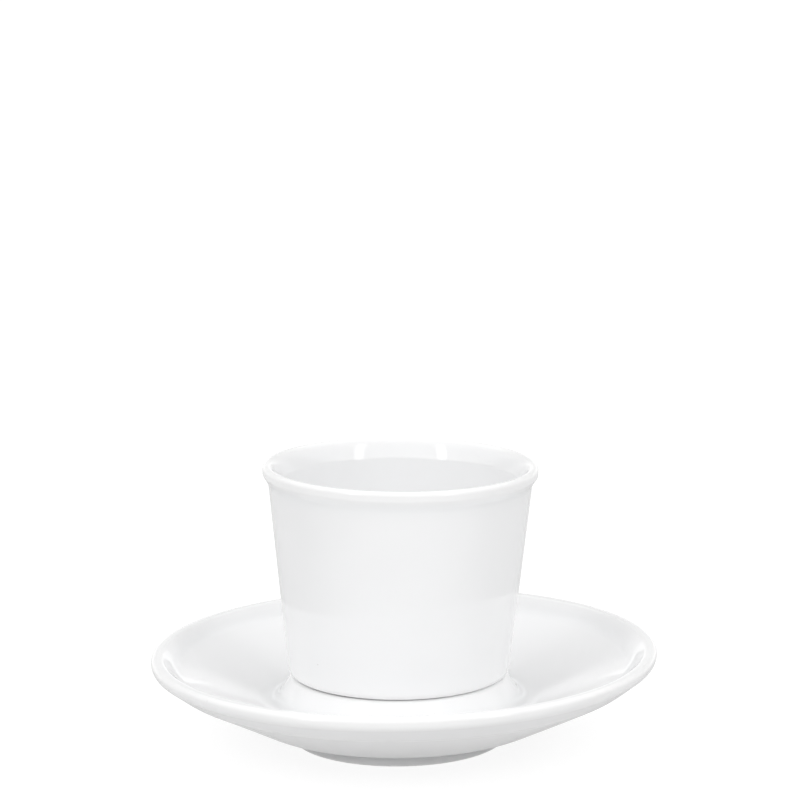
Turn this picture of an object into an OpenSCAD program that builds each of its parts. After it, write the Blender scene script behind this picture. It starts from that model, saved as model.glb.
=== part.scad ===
// Espresso cup with saucer.
// The handle-less cup stands on the raised seat in the middle of a wide saucer.
// Millimetres, +Z up. The origin is the centre of the saucer's foot, on the table.

/* [Cup] */
// Height of the cup from its foot to the top of its lip
cup_h = 50.65; // [40:0.05:70]
// Outside diameter of the wall at the lower corner of the cup
wall_low_d = 52.2; // [44:0.2:60]
// Outside diameter of the wall where it starts to flare into the lip
wall_top_d = 62.2; // [54:0.2:72]
// Thickness of the wall, measured level
cup_wall = 2.5; // [1.6:0.1:4]
// Thickness of the base
base_t = 3.2; // [2:0.1:6]
// Radius between the wall and the floor inside
floor_round = 6; // [1:0.5:12]

/* [Lip] */
// How far the lip stands out from the top of the wall
lip_out = 1.35; // [0.6:0.05:3]
// Height of the flare on the outside, lip included
flare_h = 4.4; // [3.2:0.1:8]
// Height of the flare on the inside
inner_flare_h = 4.7; // [3:0.1:10]
// How far the flare on the inside leans out from the line of the wall where the two meet
crease_lean = 0.9; // [0:0.1:1.5]
// Height of the upright edge of the lip
lip_side_h = 2.3; // [1:0.1:2.8]
// Radius of the lip's outer edge
lip_round = 1.1; // [0.4:0.05:1.3]
// Radius of the hollow under the lip
cove_round = 3.5; // [1:0.5:10]

/* [Cup foot] */
// How far the foot ring is set in from the lower corner of the wall
foot_inset = 4.6; // [1:0.1:7]
// Width of the foot ring
cup_foot_w = 2.6; // [1.5:0.1:5]
// Height of the gap that shows between the lower corner and the saucer
foot_gap = 0.1; // [0.1:0.05:0.8]
// Depth of the recess inside the foot ring
cup_recess_h = 1; // [0.5:0.1:2]
// Radius of the lower corner of the wall
corner_round = 1.9; // [0.3:0.1:3]

/* [Saucer] */
// Outside diameter of the saucer
saucer_d = 120; // [105:1:150]
// Width of the seat all round the foot ring of the cup
seat_margin = 4; // [1.2:0.1:6]
// Height of the seat above the bottom of the dish
seat_rise = 5.8; // [3:0.05:12]
// Width of the slope from the seat down into the dish
seat_slope_w = 3.6; // [2:0.1:8]
// Width of the level bottom of the dish
dish_w = 3.2; // [1:0.1:10]
// Height of the rim above the bottom of the dish
dish_h = 11.7; // [8:0.1:20]
// Thickness of the saucer at the bottom of the dish
floor_t = 5.4; // [3:0.1:8]
// Thickness of the seat
seat_t = 4; // [2.5:0.1:6]
// Radius at the edge of the seat
seat_round = 1.4; // [0.4:0.1:3]
// Radius at the foot of the slope from the seat
slope_round = 5; // [1:0.5:8]
// Radius where the bottom of the dish starts to rise
dish_round = 10; // [2:0.5:20]

/* [Saucer rim] */
// Width of the band that turns up to the rim
band_w = 5.7; // [4:0.1:9]
// Height of the band that turns up to the rim
band_h = 3.1; // [1.5:0.1:5]
// Thickness of the saucer where the band starts
band_t = 3.7; // [2.5:0.1:5.5]
// Width of the rim at its top
rim_w = 2.6; // [1.6:0.1:3.6]
// Height of the outer side of the rim
rim_side_h = 2.5; // [1.2:0.1:3.5]
// Radius of the rim's edges
rim_round = 1.25; // [0.4:0.05:1.6]
// Radius where the dish turns up into the band
band_round = 7; // [1:0.5:12]
// Radius under the rim
under_rim_round = 3; // [0.5:0.1:5]

/* [Saucer foot] */
// Outside diameter of the foot ring where it stands
foot_d = 50.6; // [40:0.2:60]
// Height of the foot ring
foot_h = 3.8; // [1.5:0.1:6]
// Width of the foot ring where it stands
foot_w = 2.8; // [1.8:0.1:5]
// How far the outer side of the foot ring leans out
foot_lean = 0.5; // [0:0.1:1.5]
// How far the recess inside the foot ring closes in towards the seat
recess_lean = 0.6; // [0:0.1:2]
// Width of the underside from the foot ring to where it turns up
belly_w = 8.2; // [4:0.1:14]
// How far the underside climbs over that width
belly_rise = 0.7; // [0:0.1:2]
// Radius where the underside turns up
belly_round = 12; // [2:1:20]
// Radius in the corner between the foot ring and the underside
foot_round = 1.5; // [0.3:0.1:3]
// Radius at the roof of the recess
recess_round = 3; // [0.5:0.1:5]

/* [Edges] */
// Radius of the edges of both foot rings
foot_edge_round = 0.4; // [0.1:0.05:0.7]

/* [Hidden] */
// Facets of a full turn
turn_n = 144;
// Degrees in one step along a rounded corner
corner_step = 6;
// Steps along the flare inside the lip
flare_n = 14;
// The most of a side that the rounding at one of its ends may use
corner_share = 0.48;

// Saucer, from the table up
saucer_r = saucer_d / 2;
foot_r = foot_d / 2;
belly_z = foot_h + belly_rise;
dish_z = belly_z + floor_t;
seat_z = dish_z + seat_rise;
rim_z = dish_z + dish_h;
band_z = rim_z - band_h;
band_r = saucer_r - band_w;
belly_r = foot_r + foot_lean + belly_w;
recess_r = foot_r - foot_w - recess_lean;

// Cup, from the seat up
wall_low_r = wall_low_d / 2;
wall_top_r = wall_top_d / 2;
wall_top_z = cup_h - flare_h;
wall_lean = (wall_top_r - wall_low_r) / (wall_top_z - foot_gap);
cup_foot_r = wall_low_r - foot_inset;
lip_r = wall_top_r + lip_out;
base_z = cup_recess_h + base_t;
flare_z = cup_h - inner_flare_h;

// The seat takes the foot of the cup and a margin round it
seat_r = cup_foot_r + seat_margin;
slope_r = seat_r + seat_slope_w;
dish_r = slope_r + dish_w;

// Radius of the inside of the cup at a height, as the straight wall runs on
function inside_r(z) = wall_low_r + (z - foot_gap) * wall_lean - cup_wall;

// A vector's direction, one long
function unit(v) = v / norm(v);

// An outline's corner: its radius and height, and the radius that rounds it
function corner(r, z, round = 0) = [[r, z], round];

// A vector turned anticlockwise by an angle
function turned_by(v, a) = [v[0] * cos(a) - v[1] * sin(a), v[0] * sin(a) + v[1] * cos(a)];

// Points that round corner b between its neighbours a and c
function rounded_corner(a, b, c, wanted) =
    let (
        to_a = unit(a - b),
        to_c = unit(c - b),
        half = acos(to_a * to_c) / 2,
        room = corner_share * min(norm(a - b), norm(c - b)),
        round = min(wanted, room * tan(half)),
        middle = b + unit(to_a + to_c) * round / sin(half),
        start = b + to_a * round / tan(half) - middle,
        sweep = 180 - 2 * half,
        side = sign(to_a[0] * to_c[1] - to_a[1] * to_c[0]),
        steps = ceil(sweep / corner_step)
    )
    [for (i = [0 : steps])
        middle + turned_by(start, -side * sweep * i / steps)];

// Points of an outline, with every corner rounded as it asks
function outline(corners) =
    [for (i = [0 : len(corners) - 1])
        let (b = corners[i][0], wanted = corners[i][1])
        each wanted == 0 ? [b] : rounded_corner(corners[i - 1][0], b, corners[i + 1][0], wanted)];

// Points of a smooth curve from a to c that sets out towards b and comes in from b
function curve(a, b, c) =
    [for (i = [0 : flare_n])
        let (t = i / flare_n)
        a * (1 - t) * (1 - t) + b * 2 * t * (1 - t) + c * t * t];

// From the middle of the seat, over the dish and the rim, and back under to the roof of the recess
function saucer_outline() = outline([
    corner(0, seat_z),
    corner(seat_r, seat_z, seat_round),
    corner(slope_r, dish_z, slope_round),
    corner(dish_r, dish_z, dish_round),
    corner(band_r, band_z, band_round),
    corner(saucer_r - rim_w, rim_z, rim_round),
    corner(saucer_r, rim_z, rim_round),
    corner(saucer_r, rim_z - rim_side_h, under_rim_round),
    corner(band_r, band_z - band_t, belly_round),
    corner(belly_r, belly_z, belly_round),
    corner(foot_r + foot_lean, foot_h, foot_round),
    corner(foot_r, 0, foot_edge_round),
    corner(foot_r - foot_w, 0, foot_edge_round),
    corner(recess_r, seat_z - seat_t, recess_round),
    corner(0, seat_z - seat_t)
]);

// From the middle of the foot, up the outside to the top of the lip
function cup_outside() = outline([
    corner(0, cup_recess_h),
    corner(cup_foot_r - cup_foot_w, cup_recess_h, foot_edge_round),
    corner(cup_foot_r - cup_foot_w, 0, foot_edge_round),
    corner(cup_foot_r, 0),
    corner(cup_foot_r, foot_gap),
    corner(wall_low_r, foot_gap, corner_round),
    corner(wall_top_r, wall_top_z, cove_round),
    corner(lip_r, cup_h - lip_side_h, lip_round),
    corner(lip_r, cup_h, lip_round),
    corner(inside_r(cup_h), cup_h)
]);

// The flare inside the lip, from the end of the lip's outer edge down to the straight wall
function cup_flare() = curve(
    [lip_r - lip_round, cup_h],
    [inside_r(cup_h) + crease_lean, cup_h],
    [inside_r(flare_z), flare_z]
);

// From the straight wall inside, down to the middle of the floor
function cup_inside() = outline([
    corner(inside_r(flare_z), flare_z),
    corner(inside_r(base_z), base_z, floor_round),
    corner(0, base_z)
]);

// All points but the last
function but_last(points) = [for (i = [0 : len(points) - 2]) points[i]];

// Turns an outline about the upright axis
module lathe(points) {
    rotate_extrude($fn = turn_n) polygon(points);
}

// Wide saucer with a raised seat, a dish round it, an upturned rim and a foot ring
module saucer() {
    color("whitesmoke") lathe(saucer_outline());
}

// Tapered cup with a flared lip, standing on the seat
module cup() {
    color("white")
        translate([0, 0, seat_z])
            lathe(concat(but_last(cup_outside()), cup_flare(), cup_inside()));
}

saucer();
cup();
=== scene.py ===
"""Espresso cup with saucer in white glazed porcelain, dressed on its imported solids.

The cup and the saucer are turned again from the outlines of their solids, finely enough for a
smooth glaze. Everything is in metres, in the frame of the solids.
"""

import math

import bmesh
import bpy
from mathutils import Matrix, Vector


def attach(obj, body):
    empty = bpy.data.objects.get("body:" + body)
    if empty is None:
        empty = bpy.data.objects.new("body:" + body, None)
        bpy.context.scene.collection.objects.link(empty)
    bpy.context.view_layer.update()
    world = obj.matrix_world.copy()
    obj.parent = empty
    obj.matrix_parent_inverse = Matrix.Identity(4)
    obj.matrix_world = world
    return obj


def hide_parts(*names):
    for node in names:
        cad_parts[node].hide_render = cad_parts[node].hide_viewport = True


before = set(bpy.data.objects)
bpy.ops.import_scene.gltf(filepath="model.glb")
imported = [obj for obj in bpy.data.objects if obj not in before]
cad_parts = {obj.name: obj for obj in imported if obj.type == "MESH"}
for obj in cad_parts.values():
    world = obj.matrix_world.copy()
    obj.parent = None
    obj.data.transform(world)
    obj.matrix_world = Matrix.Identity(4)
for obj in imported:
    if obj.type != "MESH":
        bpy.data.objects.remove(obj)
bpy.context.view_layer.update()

bl_info = {
    "name": "Espresso cup with saucer",
    "version": (1, 0, 0),
    "blender": (4, 5, 0),
    "location": "View3D > Sidebar > Cup",
    "description": "Makes a glazed porcelain cup, its saucer and a plain studio round them",
    "category": "Object",
}

MM = 0.001
MICRON = 0.000001
PHOTO_SIDE = 800
SENSOR_MM = 36.0

# Points of a solid closer than this are one point
WELD = 5 * MICRON
# A bend flatter than this belongs to a straight run
STRAIGHT_TURN = math.radians(0.3)
# A bend sharper than this is a hard corner
HARD_TURN = math.radians(25)
# A side this many times longer than its neighbour is a straight run that the neighbour rounds off
RUN_RATIO = 2.5
# Distance from the end of a run to the ring that holds its shading flat
SNUG = 0.06 * MM
# Shortest run that gets such rings
SNUG_RUN = 0.3 * MM

# Sockets of the Mix node when it mixes colours
MIX_FACTOR = 0
MIX_A = 6
MIX_B = 7
MIX_RESULT = 2


class Wire:
    """One output of a shader node. Sums written with it add the Math nodes that they need."""

    def __init__(self, tree, socket):
        self.tree = tree
        self.socket = socket

    @classmethod
    def node(cls, tree, kind, settings=None, inputs=None, output=0):
        """Adds a node of a kind: its settings first, then the values or links of its sockets."""
        made = tree.nodes.new(kind)
        for name, value in (settings or {}).items():
            if name == "stops":
                made.color_ramp.interpolation = "EASE"
                cls.set_stops(made.color_ramp.elements, value)
            else:
                setattr(made, name, value)
        for key, value in (inputs or {}).items():
            if isinstance(value, Wire):
                tree.links.new(value.socket, made.inputs[key])
            else:
                made.inputs[key].default_value = value
        return cls(tree, made.outputs[output] if made.outputs else None)

    @staticmethod
    def set_stops(elements, stops):
        """Sets a ramp's stops, each a position and a grey value."""
        while len(elements) < len(stops):
            elements.new(1.0)
        for element, (position, grey) in zip(elements, stops):
            element.position = position
            element.color = (grey, grey, grey, 1.0)

    def math(self, operation, first, second):
        return Wire.node(self.tree, "ShaderNodeMath", {"operation": operation}, {0: first, 1: second})

    def __add__(self, other):
        return self.math("ADD", self, other)

    def __radd__(self, other):
        return self.math("ADD", other, self)

    def __sub__(self, other):
        return self.math("SUBTRACT", self, other)

    def __rsub__(self, other):
        return self.math("SUBTRACT", other, self)

    def __mul__(self, other):
        return self.math("MULTIPLY", self, other)

    def __rmul__(self, other):
        return self.math("MULTIPLY", other, self)

    def step(self, low, high, at_low=0.0, at_high=1.0):
        """Runs smoothly from at_low to at_high as this value goes from low to high."""
        return Wire.node(
            self.tree,
            "ShaderNodeMapRange",
            {"interpolation_type": "SMOOTHSTEP"},
            {"Value": self, "From Min": low, "From Max": high, "To Min": at_low, "To Max": at_high},
        )


def mixed(tree, share, first, second):
    """Colour that goes from first to second as share goes from 0 to 1."""
    return Wire.node(
        tree,
        "ShaderNodeMix",
        {"data_type": "RGBA"},
        {MIX_FACTOR: share, MIX_A: first, MIX_B: second},
        MIX_RESULT,
    )


def cloud(tree, place, size, detail=2.0):
    """Soft noise about size across, from 0 to 1 round a half."""
    return Wire.node(
        tree,
        "ShaderNodeTexNoise",
        {},
        {"Vector": place, "Scale": 1.0 / size, "Detail": detail},
    )


def painted(tree, name):
    """A number that the mesh carries on its points."""
    return Wire.node(tree, "ShaderNodeAttribute", {"attribute_name": name}, {}, "Fac")


def opaque(colour):
    return (*colour, 1.0)


class GlazeSettings(bpy.types.PropertyGroup):
    """The glaze and the bare clay under it"""

    colour: bpy.props.FloatVectorProperty(
        name="Glaze", description="Colour of the glaze on the open walls",
        subtype="COLOR", size=3, min=0.0, max=1.0, default=(0.925, 0.927, 0.932),
    )
    thin_colour: bpy.props.FloatVectorProperty(
        name="Thin glaze", description="Colour on the edges, where the glaze runs thin",
        subtype="COLOR", size=3, min=0.0, max=1.0, default=(0.93, 0.927, 0.921),
    )
    pooled_colour: bpy.props.FloatVectorProperty(
        name="Pooled glaze", description="Colour in the hollows, where the glaze gathers",
        subtype="COLOR", size=3, min=0.0, max=1.0, default=(0.9, 0.908, 0.915),
    )
    speck_colour: bpy.props.FloatVectorProperty(
        name="Specks", description="Colour of the few tiny specks in the glaze",
        subtype="COLOR", size=3, min=0.0, max=1.0, default=(0.34, 0.31, 0.28),
    )
    clay_colour: bpy.props.FloatVectorProperty(
        name="Bare clay", description="Colour of the unglazed ring that each piece stands on",
        subtype="COLOR", size=3, min=0.0, max=1.0, default=(0.70, 0.67, 0.615),
    )
    roughness: bpy.props.FloatProperty(
        name="Roughness", description="Roughness of the glaze", subtype="FACTOR",
        min=0.0, max=1.0, default=0.03,
    )
    clay_roughness: bpy.props.FloatProperty(
        name="Clay roughness", description="Roughness of the bare clay", subtype="FACTOR",
        min=0.0, max=1.0, default=0.8,
    )
    ior: bpy.props.FloatProperty(
        name="Refractive index", description="Refractive index of the glaze",
        min=1.3, max=2.0, default=1.52,
    )
    wave_height: bpy.props.FloatProperty(
        name="Waves", description="Height of the soft waves that the glaze ran into",
        unit="LENGTH", precision=6, min=0.0, max=0.0005, default=30 * MICRON,
    )
    peel_height: bpy.props.FloatProperty(
        name="Peel", description="Height of the fine unevenness of the fired glaze",
        unit="LENGTH", precision=6, min=0.0, max=0.0005, default=1.2 * MICRON,
    )


class WareSettings(bpy.types.PropertyGroup):
    """How the two pieces are turned, and how far firing drew them out of true"""

    turns: bpy.props.IntProperty(
        name="Steps round", description="Steps of a full turn", min=96, max=720, default=288,
    )
    round_step: bpy.props.FloatProperty(
        name="Step on roundings", description="Longest step along a rounded stretch of an outline",
        unit="LENGTH", min=0.0001, max=0.002, default=0.4 * MM,
    )
    run_step: bpy.props.FloatProperty(
        name="Step on runs", description="Longest step along a straight stretch of an outline",
        unit="LENGTH", min=0.0005, max=0.01, default=2.0 * MM,
    )
    saucer_rise: bpy.props.FloatProperty(
        name="Saucer rim", description="How far firing lifted the saucer's rim on its right",
        unit="LENGTH", min=-0.002, max=0.002, default=0.7 * MM,
    )
    saucer_drift: bpy.props.FloatProperty(
        name="Saucer drift", description="How far firing moved the saucer's rim to its right",
        unit="LENGTH", min=-0.002, max=0.002, default=1.25 * MM,
    )
    cup_rise: bpy.props.FloatProperty(
        name="Cup lip", description="How far firing lifted the cup's lip on its right",
        unit="LENGTH", min=-0.002, max=0.002, default=-0.5 * MM,
    )
    cup_lean: bpy.props.FloatProperty(
        name="Cup lean", description="How far firing moved the cup's lip to its right",
        unit="LENGTH", min=-0.002, max=0.002, default=0.85 * MM,
    )


class StageSettings(bpy.types.PropertyGroup):
    """Floor, light and camera"""

    floor_colour: bpy.props.FloatVectorProperty(
        name="Floor", description="Colour of the floor", subtype="COLOR", size=3,
        min=0.0, max=1.0, default=(0.22, 0.22, 0.22),
    )
    floor_glow: bpy.props.FloatProperty(
        name="Floor glow", description="Light that comes up through the floor, which softens the shadow",
        min=0.0, max=5.0, default=0.86,
    )
    card_colour: bpy.props.FloatVectorProperty(
        name="Card", description="Colour of the card that throws light up at the ware",
        subtype="COLOR", size=3, min=0.0, max=1.0, default=(0.76, 0.76, 0.76),
    )
    card_glow: bpy.props.FloatProperty(
        name="Card glow", description="Light of its own that the card throws up",
        min=0.0, max=5.0, default=0.03,
    )
    floor_radius: bpy.props.FloatProperty(
        name="Floor radius", description="Radius of the floor", unit="LENGTH",
        min=1.0, max=20.0, default=6.0,
    )
    softbox_width: bpy.props.FloatProperty(
        name="Softbox width", description="Width of each softbox", unit="LENGTH",
        min=0.05, max=3.0, default=0.21,
    )
    softbox_height: bpy.props.FloatProperty(
        name="Softbox height", description="Height of each softbox", unit="LENGTH",
        min=0.05, max=3.0, default=1.3,
    )
    softbox_left: bpy.props.FloatProperty(
        name="Left softbox", description="Brightness of the left softbox",
        min=0.0, max=20.0, default=2.7,
    )
    softbox_right: bpy.props.FloatProperty(
        name="Right softbox", description="Brightness of the right softbox",
        min=0.0, max=20.0, default=2.4,
    )
    camera_distance: bpy.props.FloatProperty(
        name="Distance", description="From the camera to the middle of the saucer's foot",
        unit="LENGTH", min=0.2, max=5.0, default=0.7674,
    )
    camera_elevation: bpy.props.FloatProperty(
        name="Elevation", description="How far the camera stands above the table",
        unit="ROTATION", min=0.0, max=1.5, default=math.radians(16.63),
    )
    camera_focus: bpy.props.FloatProperty(
        name="Focal length", description="Focal length in pixels of the photograph",
        min=500.0, max=9000.0, default=3193.0,
    )
    foot_row: bpy.props.FloatProperty(
        name="Foot row", description="Row of the photograph where the middle of the foot lies",
        min=0.0, max=800.0, default=735.3,
    )
    camera_yaw: bpy.props.FloatProperty(
        name="Yaw", description="Turn of the camera to its left", unit="ROTATION",
        min=-0.1, max=0.1, default=math.radians(-0.068),
    )
    camera_roll: bpy.props.FloatProperty(
        name="Roll", description="Tilt of the camera", unit="ROTATION",
        min=-0.1, max=0.1, default=math.radians(-0.5),
    )


class CupSetSettings(bpy.types.PropertyGroup):
    """Everything that a user would change"""

    glaze: bpy.props.PointerProperty(type=GlazeSettings)
    ware: bpy.props.PointerProperty(type=WareSettings)
    stage: bpy.props.PointerProperty(type=StageSettings)


def turn_between(first, second):
    """Angle from one direction to the next, positive to the left."""
    return math.atan2(first.x * second.y - first.y * second.x, first.dot(second))


def outline_of(node):
    """Outline of a turned solid from the axis below to the axis above, as radius and height."""
    half = bmesh.new()
    half.from_mesh(node.data)
    bmesh.ops.remove_doubles(half, verts=half.verts, dist=WELD)
    cut = bmesh.ops.bisect_plane(
        half,
        geom=half.verts[:] + half.edges[:] + half.faces[:],
        dist=WELD,
        plane_co=(0.0, 0.0, 0.0),
        plane_no=(0.0, 1.0, 0.0),
    )["geom_cut"]
    beside = {}
    for edge in cut:
        if isinstance(edge, bmesh.types.BMEdge) and min(v.co.x for v in edge.verts) > 0.0:
            first, second = edge.verts
            beside.setdefault(first, []).append(second)
            beside.setdefault(second, []).append(first)
    ends = [vert for vert, others in beside.items() if len(others) == 1]
    if len(ends) != 2 or any(len(others) > 2 for others in beside.values()):
        raise RuntimeError(f"the outline of {node.name} isn't one open line: {len(ends)} ends")
    last = None
    here = min(ends, key=lambda vert: vert.co.z)
    points = [Vector((0.0, here.co.z))]
    while here:
        points.append(Vector((here.co.x, here.co.z)))
        onward = [vert for vert in beside[here] if vert is not last]
        last = here
        here = onward[0] if onward else None
    points.append(Vector((0.0, last.co.z)))
    half.free()
    return without_flat_points(points)


def without_flat_points(points):
    """The outline with the points inside its straight runs left out."""
    kept = [points[0]]
    for i in range(1, len(points) - 1):
        before = points[i] - kept[-1]
        after = points[i + 1] - points[i]
        if abs(turn_between(before, after)) > STRAIGHT_TURN:
            kept.append(points[i])
    kept.append(points[-1])
    return kept


def tangents_at(before, after):
    """Directions in which an outline reaches a point and leaves it."""
    arrive = before.normalized()
    leave = after.normalized()
    if abs(turn_between(before, after)) > HARD_TURN:
        return arrive, leave
    if before.length > RUN_RATIO * after.length:
        return arrive, arrive
    if after.length > RUN_RATIO * before.length:
        return leave, leave
    both = (arrive * after.length + leave * before.length).normalized()
    return both, both


def steps_along(length, longest, straight):
    """Shares of a side at which it gets points, its end left out."""
    count = math.ceil(length / longest)
    shares = [i / count for i in range(count)]
    if straight and length > SNUG_RUN:
        snug = SNUG / length
        shares.insert(1, snug)
        shares.append(1.0 - snug)
    return shares


def smooth_outline(points, ware):
    """The outline with its roundings made smooth and its runs cut into steps."""
    sides = [points[i + 1] - points[i] for i in range(len(points) - 1)]
    meets = [tangents_at(sides[i], sides[i + 1]) for i in range(len(sides) - 1)]
    made = []
    for i, side in enumerate(sides):
        leave = meets[i - 1][1] if i > 0 else side.normalized()
        arrive = meets[i][0] if i < len(meets) else side.normalized()
        straight = abs(turn_between(leave, arrive)) < STRAIGHT_TURN
        longest = ware.run_step if straight else ware.round_step
        for t in steps_along(side.length, longest, straight):
            made.append(
                points[i] * (1.0 + 2.0 * t) * (1.0 - t) ** 2
                + leave * side.length * t * (1.0 - t) ** 2
                + points[i + 1] * t * t * (3.0 - 2.0 * t)
                - arrive * side.length * t * t * (1.0 - t)
            )
    made.append(points[-1])
    return made


def lengths_along(points):
    """Distance of each point from the start of the outline."""
    found = [0.0]
    for i in range(1, len(points)):
        found.append(found[-1] + (points[i] - points[i - 1]).length)
    return found


def bends_along(points, spread):
    """Curvature of the outline at each point, per metre, evened out over spread."""
    along = lengths_along(points)
    turns = [0.0]
    for i in range(1, len(points) - 1):
        turns.append(turn_between(points[i] - points[i - 1], points[i + 1] - points[i]))
    turns.append(0.0)
    bends = []
    for here in along:
        total = 0.0
        for there, turn in zip(along, turns):
            off = (there - here) / spread
            if abs(off) < BEND_REACH:
                total += turn * math.exp(-0.5 * off * off)
        bends.append(total / (spread * math.sqrt(2.0 * math.pi)))
    return bends


def clamped(value):
    return min(max(value, 0.0), 1.0)


# Spread over which the glaze feels a bend of the outline
BEND_SPREAD = 0.7 * MM
# Number of spreads beyond which a bend is no longer felt
BEND_REACH = 4.0
# Radius of an edge that the glaze leaves thin, and of a hollow that it fills
THIN_RADIUS = 1.0 * MM
POOL_RADIUS = 4.0 * MM


def turned_piece(name, outline, turns, fired):
    """A piece turned about the upright axis. fired moves a point to where firing left it."""
    points = []
    numbers = []
    for point in outline:
        start = len(points)
        if point.x > WELD:
            for j in range(turns):
                angle = 2.0 * math.pi * j / turns
                points.append(fired(point.x * math.cos(angle), point.x * math.sin(angle), point.y))
            numbers.append([start + j for j in range(turns)])
        else:
            points.append(fired(0.0, 0.0, point.y))
            numbers.append([start] * turns)
    along = lengths_along(outline)
    faces = []
    spots = []
    for i in range(len(outline) - 1):
        low = along[i] / along[-1]
        high = along[i + 1] / along[-1]
        for j in range(turns):
            k = (j + 1) % turns
            corners = (
                (numbers[i][j], (j / turns, low)),
                (numbers[i][k], ((j + 1) / turns, low)),
                (numbers[i + 1][k], ((j + 1) / turns, high)),
                (numbers[i + 1][j], (j / turns, high)),
            )
            face = {}
            for number, spot in corners:
                face.setdefault(number, spot)
            faces.append(tuple(face))
            spots.extend(face.values())
    mesh = bpy.data.meshes.new(name)
    mesh.from_pydata(points, [], faces)
    layer = mesh.uv_layers.new(name="wrap")
    layer.data.foreach_set("uv", [share for spot in spots for share in spot])
    mesh.polygons.foreach_set("use_smooth", [True] * len(mesh.polygons))
    bends = bends_along(outline, BEND_SPREAD)
    floor = min(point.y for point in outline)
    paint_points(mesh, "thin", numbers, [clamped(bend * THIN_RADIUS) for bend in bends])
    paint_points(mesh, "pool", numbers, [clamped(-bend * POOL_RADIUS) for bend in bends])
    paint_points(mesh, "stand", numbers, [(point.y - floor) / MM for point in outline])
    mesh.validate()
    piece = bpy.data.objects.new(name, mesh)
    bpy.context.scene.collection.objects.link(piece)
    return piece


def paint_points(mesh, name, numbers, values):
    """Puts one value of the outline on every point of its ring."""
    spread = [0.0] * len(mesh.vertices)
    for ring, value in zip(numbers, values):
        for number in ring:
            spread[number] = value
    mesh.attributes.new(name, "FLOAT", "POINT").data.foreach_set("value", spread)


# Sizes of what shows in the glaze
WAVE_SIZE = 16.0 * MM
PEEL_SIZE = 2.4 * MM
MOTTLE_SIZE = 30.0 * MM
SPECK_CELL = 10.0 * MM
SPECK_RADIUS = 0.16 * MM
GRAIN_SIZE = 0.35 * MM
GRAIN_HEIGHT = 60 * MICRON
GLAZE_EDGE_SIZE = 5.0 * MM
# Height above the standing ring, in millimetres, where the glaze begins, and how far that line wanders
GLAZE_START = 0.03
GLAZE_FADE = 0.05
GLAZE_WANDER = 0.04
# Value that soft noise swings round
NOISE_MIDDLE = 0.5
# How much of the thin glaze shows, and of the pooled glaze without and with mottling
THIN_SHARE = 0.8
POOL_SHARE = 0.5
POOL_MOTTLE_SHARE = 0.8
# Noise values between which mottling sets in, how much of it shows and the brightness that it leaves
MOTTLE_START = 0.35
MOTTLE_END = 0.75
MOTTLE_SHARE = 0.4
DULL_SHARE = 0.96
# How far mottling changes the roughness, and how much rougher the glaze is where it runs thin
MOTTLE_ROUGHNESS = 0.02
THIN_ROUGHNESS = 0.16
# Darkest part of a speck's radius, and how strong a speck is
SPECK_MIDDLE_SHARE = 0.4
SPECK_SHARE = 0.75
# Noise values between which the clay darkens, and the brightness of its dark grains
GRAIN_START = 0.4
GRAIN_END = 0.65
DARK_CLAY_SHARE = 0.8


def dimmed(colour, share):
    return tuple(share * value for value in colour)


def glazed(name, glaze):
    """White glaze, thin on the edges and pooled in the hollows, with bare clay where it stands."""
    material = bpy.data.materials.new(name)
    material.use_nodes = True
    tree = material.node_tree
    tree.nodes.clear()
    place = Wire.node(tree, "ShaderNodeTexCoord", {}, {}, "Object")
    mottle = cloud(tree, place, MOTTLE_SIZE)
    wave = cloud(tree, place, WAVE_SIZE, detail=0.0)
    peel = cloud(tree, place, PEEL_SIZE, detail=1.0)
    grain = cloud(tree, place, GRAIN_SIZE, detail=3.0)
    ragged = cloud(tree, place, GLAZE_EDGE_SIZE)
    thin = painted(tree, "thin")
    pool = painted(tree, "pool")
    height = painted(tree, "stand") + (ragged - NOISE_MIDDLE) * GLAZE_WANDER
    bare = height.step(GLAZE_START, GLAZE_START + GLAZE_FADE, 1.0, 0.0)
    near = Wire.node(
        tree, "ShaderNodeTexVoronoi", {"feature": "F1"},
        {"Vector": place, "Scale": 1.0 / SPECK_CELL}, "Distance",
    )
    reach = SPECK_RADIUS / SPECK_CELL
    speck = near.step(SPECK_MIDDLE_SHARE * reach, reach, SPECK_SHARE, 0.0)
    colour = mixed(tree, thin * THIN_SHARE, opaque(glaze.colour), opaque(glaze.thin_colour))
    pooled = pool * (POOL_SHARE + mottle * POOL_MOTTLE_SHARE)
    colour = mixed(tree, pooled, colour, opaque(glaze.pooled_colour))
    dulled = opaque(dimmed(glaze.colour, DULL_SHARE))
    colour = mixed(tree, mottle.step(MOTTLE_START, MOTTLE_END, 0.0, MOTTLE_SHARE), colour, dulled)
    colour = mixed(tree, speck, colour, opaque(glaze.speck_colour))
    dark_clay = opaque(dimmed(glaze.clay_colour, DARK_CLAY_SHARE))
    clay = mixed(tree, grain.step(GRAIN_START, GRAIN_END), opaque(glaze.clay_colour), dark_clay)
    colour = mixed(tree, bare, colour, clay)
    uneven = (mottle - NOISE_MIDDLE) * MOTTLE_ROUGHNESS + thin * THIN_ROUGHNESS
    rough = glaze.roughness + uneven + bare * (glaze.clay_roughness - glaze.roughness)
    relief = wave * glaze.wave_height + peel * glaze.peel_height + bare * grain * GRAIN_HEIGHT
    bump = Wire.node(
        tree, "ShaderNodeBump", {}, {"Height": relief, "Distance": 1.0, "Strength": 1.0}, "Normal"
    )
    shader = Wire.node(
        tree, "ShaderNodeBsdfPrincipled", {},
        {"Base Color": colour, "Roughness": rough, "IOR": glaze.ior, "Normal": bump},
    )
    Wire.node(tree, "ShaderNodeOutputMaterial", {}, {"Surface": shader})
    return material


def dress(piece, node, body):
    """Sets a piece in the place of its solid."""
    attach(piece, body)
    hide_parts(node)


# Up to this height the saucer is its foot ring, which firing left round and level
FOOT_HEIGHT = 2.0 * MM


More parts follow.
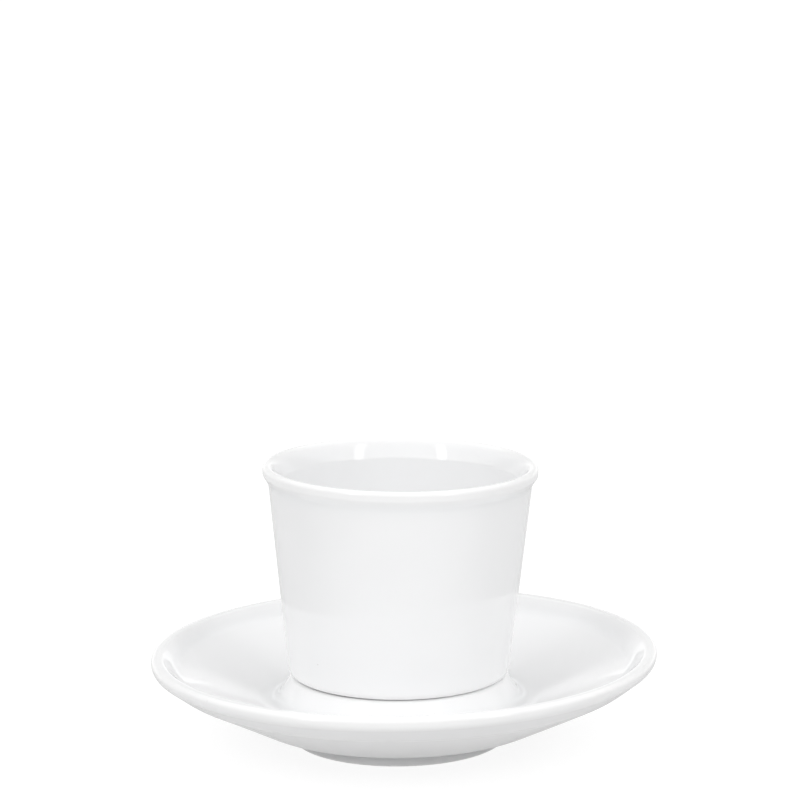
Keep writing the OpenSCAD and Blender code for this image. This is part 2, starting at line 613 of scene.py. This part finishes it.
class CUPSET_OT_make_saucer(bpy.types.Operator):
    """Turns the wide saucer with its raised seat, dish, upturned rim and foot ring"""

    bl_idname = "cup_set.make_saucer"
    bl_label = "Make saucer"

    def execute(self, context):
        settings = context.scene.cup_set
        outline = smooth_outline(outline_of(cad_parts["saucer"]), settings.ware)
        rim_r = max(point.x for point in outline)
        foot_r = max(point.x for point in outline if point.y < FOOT_HEIGHT)
        rise = settings.ware.saucer_rise
        drift = settings.ware.saucer_drift

        def fired(x, y, z):
            share = clamped((math.hypot(x, y) - foot_r) / (rim_r - foot_r))
            moved = share * share * (3.0 - 2.0 * share)
            return (x + drift * moved, y, z + rise * share * share * x / rim_r)

        piece = turned_piece("saucer_shell", outline, settings.ware.turns, fired)
        piece.data.materials.append(glazed("saucer_glaze", settings.glaze))
        dress(piece, "saucer", "saucer")
        return {"FINISHED"}


class CUPSET_OT_make_cup(bpy.types.Operator):
    """Turns the handle-less cup with its tapered wall, flared lip and foot ring"""

    bl_idname = "cup_set.make_cup"
    bl_label = "Make cup"

    def execute(self, context):
        settings = context.scene.cup_set
        outline = smooth_outline(outline_of(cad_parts["cup"]), settings.ware)
        lip_r = max(point.x for point in outline)
        foot_z = min(point.y for point in outline)
        lip_z = max(point.y for point in outline)
        foot_r = max(point.x for point in outline if point.y - foot_z < WELD)
        rise = settings.ware.cup_rise
        lean = settings.ware.cup_lean

        def fired(x, y, z):
            height = (z - foot_z) / (lip_z - foot_z)
            share = clamped((math.hypot(x, y) - foot_r) / (lip_r - foot_r))
            return (x + lean * height, y, z + rise * share * x / lip_r)

        piece = turned_piece("cup_shell", outline, settings.ware.turns, fired)
        piece.data.materials.append(glazed("cup_glaze", settings.glaze))
        dress(piece, "cup", "cup")
        return {"FINISHED"}


WHITE = (1.0, 1.0, 1.0)
FLOOR_SIDES = 96
# How far the floor lies under the foot, and the card under the floor
FLOOR_DROP = 0.2 * MM
FLOOR_ROUGHNESS = 0.9
# Radius of the openings under the saucer's foot that let light up into its recess
FLOOR_HOLE = 20.0 * MM
CARD_HOLE = 26.5 * MM


def flat_round(name, hole, radius, colour, glow):
    """A wide plain disc just under the saucer's foot, open in its middle. It shows from above only."""
    points = []
    faces = []
    for i in range(FLOOR_SIDES):
        angle = 2.0 * math.pi * i / FLOOR_SIDES
        for reach in (hole, radius):
            points.append((reach * math.cos(angle), reach * math.sin(angle), -FLOOR_DROP))
        k = (i + 1) % FLOOR_SIDES
        faces.append((2 * i, 2 * i + 1, 2 * k + 1, 2 * k))
    mesh = bpy.data.meshes.new(name)
    mesh.from_pydata(points, [], faces)
    material = bpy.data.materials.new(name + "_paint")
    material.use_nodes = True
    tree = material.node_tree
    tree.nodes.clear()
    shader = Wire.node(
        tree, "ShaderNodeBsdfPrincipled", {},
        {
            "Base Color": opaque(colour),
            "Roughness": FLOOR_ROUGHNESS,
            "Specular IOR Level": 0.0,
            "Emission Color": opaque(WHITE),
            "Emission Strength": glow,
        },
    )
    under = Wire.node(tree, "ShaderNodeNewGeometry", {}, {}, "Backfacing")
    clear = Wire.node(tree, "ShaderNodeBsdfTransparent")
    one_sided = Wire.node(tree, "ShaderNodeMixShader", {}, {0: under, 1: shader, 2: clear})
    Wire.node(tree, "ShaderNodeOutputMaterial", {}, {"Surface": one_sided})
    mesh.materials.append(material)
    disc = bpy.data.objects.new(name, mesh)
    disc.visible_glossy = False
    bpy.context.scene.collection.objects.link(disc)
    return disc


def make_floor(stage):
    """The pale floor that shows, and the card under it that throws light back up at the ware."""
    floor = flat_round("floor", FLOOR_HOLE, stage.floor_radius, stage.floor_colour, stage.floor_glow)
    floor.visible_diffuse = False
    floor.visible_shadow = False
    card = flat_round("bounce_card", CARD_HOLE, stage.floor_radius, stage.card_colour, stage.card_glow)
    card.location.z = -FLOOR_DROP
    card.visible_camera = False


def make_camera(stage):
    """A camera at the photograph's angle, with a plain lens."""
    lens = bpy.data.cameras.new("camera")
    lens.sensor_width = SENSOR_MM
    lens.lens = stage.camera_focus * SENSOR_MM / PHOTO_SIDE
    camera = bpy.data.objects.new("camera", lens)
    below = math.atan((stage.foot_row - PHOTO_SIDE / 2.0) / stage.camera_focus)
    elevation = stage.camera_elevation
    pitch = elevation - below
    place = stage.camera_distance * Vector((0.0, -math.cos(elevation), math.sin(elevation)))
    camera.matrix_world = (
        Matrix.Translation(place)
        @ Matrix.Rotation(stage.camera_yaw, 4, "Z")
        @ Matrix.Rotation(math.pi / 2.0 - pitch, 4, "X")
        @ Matrix.Rotation(stage.camera_roll, 4, "Z")
    )
    bpy.context.scene.collection.objects.link(camera)
    bpy.context.scene.camera = camera


# Heights, in degrees above the table, at which the studio's brightness is given, and that brightness in
# front of the ware, at its sides and behind it
DOME_STOPS = (-45.0, -20.0, -5.0, 4.0, 11.0, 20.0, 32.0, 48.0, 90.0)
DOME_FRONT = (0.9, 0.6, 0.1, 0.15, 0.2, 1.45, 1.25, 0.8, 1.35)
DOME_SIDE = (0.35, 0.2, 0.15, 0.2, 0.2, 1.15, 0.75, 1.2, 1.3)
DOME_BACK = (0.75, 0.65, 0.9, 1.3, 0.85, 0.45, 0.4, 1.1, 1.3)
# How far front and back run into the sides, as a share of the way to straight ahead and straight back
DOME_FADE_SHARE = 0.95


def height_share(rise):
    """Place on a ramp from straight down to straight up of a direction that rises from -1 to 1."""
    return 0.5 + 0.5 * rise


def make_dome():
    """A plain studio all round, with a brightness of its own in front, at the sides and behind."""
    world = bpy.data.worlds.new("studio")
    world.use_nodes = True
    tree = world.node_tree
    tree.nodes.clear()
    way = Wire.node(tree, "ShaderNodeTexCoord", {}, {}, "Generated")
    back = Wire.node(tree, "ShaderNodeSeparateXYZ", {}, {"Vector": way}, "Y")
    up = Wire.node(tree, "ShaderNodeSeparateXYZ", {}, {"Vector": way}, "Z")
    share = height_share(up)
    most = max(DOME_FRONT + DOME_SIDE + DOME_BACK)
    zones = []
    for levels in (DOME_FRONT, DOME_SIDE, DOME_BACK):
        stops = []
        for degrees, level in zip(DOME_STOPS, levels):
            stops.append((height_share(math.sin(math.radians(degrees))), level / most))
        zones.append(Wire.node(tree, "ShaderNodeValToRGB", {"stops": stops}, {"Fac": share}, "Color"))
    front, side, behind = zones
    colour = mixed(tree, back.step(-DOME_FADE_SHARE, 0.0, 1.0, 0.0), side, front)
    colour = mixed(tree, back.step(0.0, DOME_FADE_SHARE), colour, behind)
    shade = Wire.node(tree, "ShaderNodeBackground", {}, {"Color": colour, "Strength": most})
    Wire.node(tree, "ShaderNodeOutputWorld", {}, {"Surface": shade})
    bpy.context.scene.world = world


# Place of the right softbox's middle, the way that both lean, and what they face
SOFTBOX_PLACE = Vector((0.8, -0.88, 0.68))
SOFTBOX_UP = Vector((0.0, 0.1, 1.0))
SOFTBOX_AIM = Vector((0.0, 0.0, 0.03))


def make_softbox(name, place, stage, brightness):
    """A tall flat soft light that faces the ware."""
    light = bpy.data.lights.new(name, "AREA")
    light.shape = "RECTANGLE"
    light.size = stage.softbox_width
    light.size_y = stage.softbox_height
    light.energy = brightness * math.pi * light.size * light.size_y
    up = SOFTBOX_UP.normalized()
    back = place - SOFTBOX_AIM
    back = (back - up * back.dot(up)).normalized()
    across = up.cross(back)
    turn = Matrix((across, up, back)).transposed().to_4x4()
    lamp = bpy.data.objects.new(name, light)
    lamp.matrix_world = Matrix.Translation(place) @ turn
    lamp.visible_camera = False
    bpy.context.scene.collection.objects.link(lamp)


def make_lights(stage):
    """The studio's soft light all round, and two tall softboxes that stand in front."""
    make_dome()
    mirrored = Vector((-SOFTBOX_PLACE.x, SOFTBOX_PLACE.y, SOFTBOX_PLACE.z))
    make_softbox("left_tall", mirrored, stage, stage.softbox_left)
    make_softbox("right_tall", SOFTBOX_PLACE, stage, stage.softbox_right)


class CUPSET_OT_make_stage(bpy.types.Operator):
    """Sets the floor, the lights and the camera"""

    bl_idname = "cup_set.make_stage"
    bl_label = "Make stage"

    def execute(self, context):
        stage = context.scene.cup_set.stage
        make_floor(stage)
        make_lights(stage)
        make_camera(stage)
        context.scene.view_settings.view_transform = "Standard"
        return {"FINISHED"}


class CUPSET_PT_panel(bpy.types.Panel):
    """Lists what can be made and what can be changed"""

    bl_idname = "CUPSET_PT_panel"
    bl_label = "Espresso cup with saucer"
    bl_space_type = "VIEW_3D"
    bl_region_type = "UI"
    bl_category = "Cup"

    def draw(self, context):
        settings = context.scene.cup_set
        for group in (settings.ware, settings.glaze, settings.stage):
            box = self.layout.box()
            for name in type(group).__annotations__:
                box.prop(group, name)
        self.layout.operator(CUPSET_OT_make_saucer.bl_idname)
        self.layout.operator(CUPSET_OT_make_cup.bl_idname)
        self.layout.operator(CUPSET_OT_make_stage.bl_idname)


CLASSES = (
    GlazeSettings,
    WareSettings,
    StageSettings,
    CupSetSettings,
    CUPSET_OT_make_saucer,
    CUPSET_OT_make_cup,
    CUPSET_OT_make_stage,
    CUPSET_PT_panel,
)


def register():
    for cls in CLASSES:
        bpy.utils.register_class(cls)
    bpy.types.Scene.cup_set = bpy.props.PointerProperty(type=CupSetSettings)


def unregister():
    del bpy.types.Scene.cup_set
    for cls in reversed(CLASSES):
        bpy.utils.unregister_class(cls)


def main():
    register()
    bpy.ops.cup_set.make_saucer()
    bpy.ops.cup_set.make_cup()
    bpy.ops.cup_set.make_stage()


if __name__ == "__main__":
    main()
